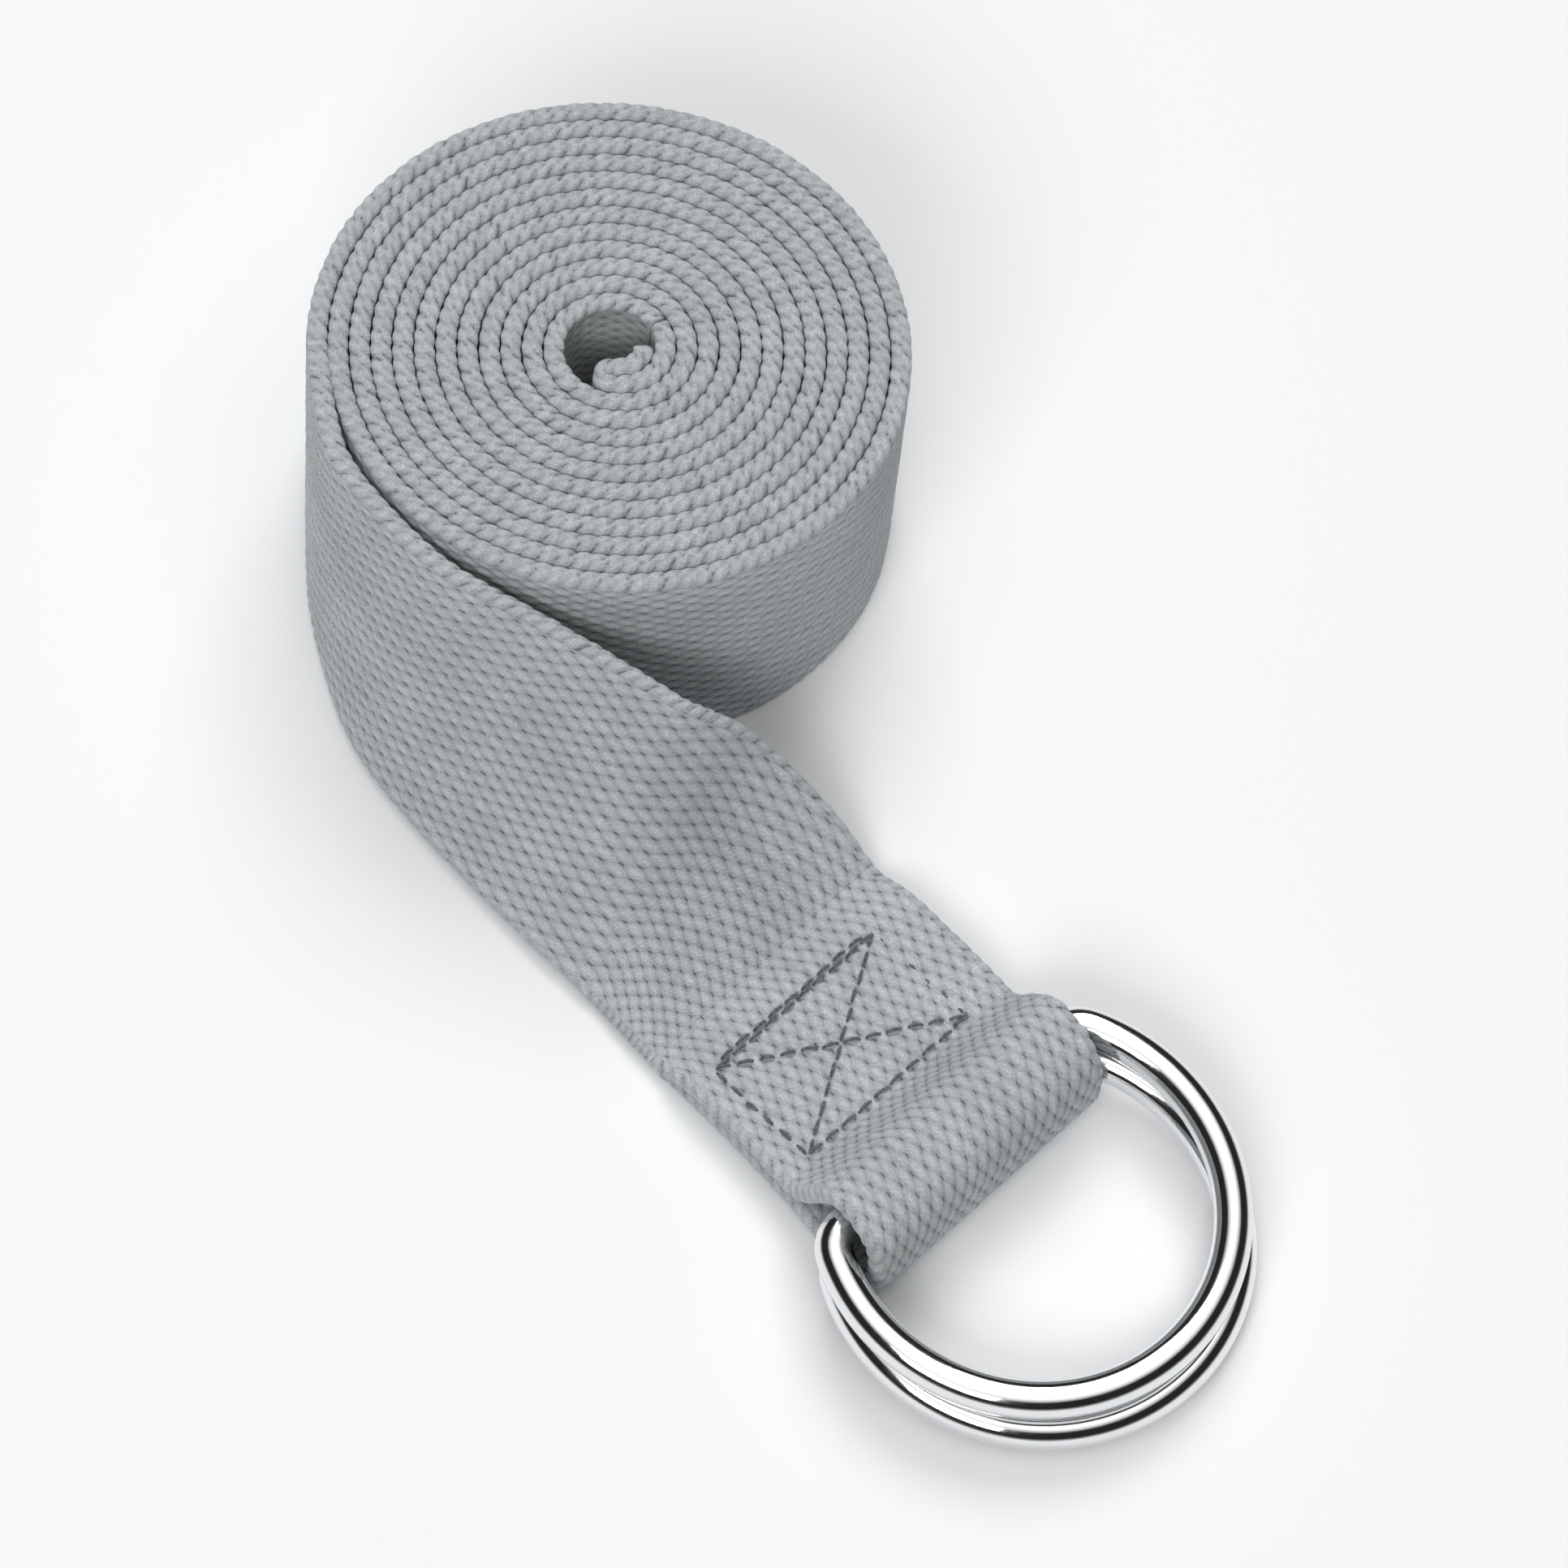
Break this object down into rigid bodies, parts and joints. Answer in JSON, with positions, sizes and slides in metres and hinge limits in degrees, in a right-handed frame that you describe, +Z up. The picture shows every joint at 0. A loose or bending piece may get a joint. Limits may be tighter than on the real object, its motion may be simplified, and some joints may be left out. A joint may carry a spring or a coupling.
{
  "type": "stretching strap",
  "caption": "Cotton stretching strap wound into a roll on edge, its free end sewn round polished steel D-rings with a boxed cross of stitching",
  "frame": {"origin": "middle of the footprint, on the surface that the strap lies on", "axes": "+X from the roll towards the rings, +Y across the flat webbing towards the roll's side, +Z up along the roll's axis"},
  "size_m": [0.1716, 0.0964, 0.0381],
  "materials": {
    "webbing": "matt coarse-ribbed cotton webbing, mid grey",
    "ring_steel": "bright polished, nickel plated",
    "thread": "dark slate sewing thread, slight sheen"
  },
  "bodies": {
    "strap": {"webbing_roll": "webbing", "webbing_tail_hem": "webbing", "webbing_lead": "webbing", "webbing_ring_loop": "webbing", "stitch_rear_row": "thread", "stitch_front_row": "thread", "stitch_side_near": "thread", "stitch_side_far": "thread", "stitch_cross_a": "thread", "stitch_cross_b": "thread", "stitch_hem_row": "thread"},
    "upper_ring": {"d_ring_upper": "ring_steel"},
    "lower_ring": {"d_ring_lower": "ring_steel"}
  },
  "joints": [
    {"name": "upper_ring_hinge", "type": "hinge", "parent": "strap", "child": "upper_ring", "pos_m": [0.04428, -0.02124, 0.01041], "axis": [0.0087, -1, 0], "range_deg": [0, 150]},
    {"name": "lower_ring_hinge", "type": "hinge", "parent": "strap", "child": "lower_ring", "pos_m": [0.04618, -0.02124, 0.00541], "axis": [-0.0262, -0.9997, 0], "range_deg": [-150, 0]}
  ]
}
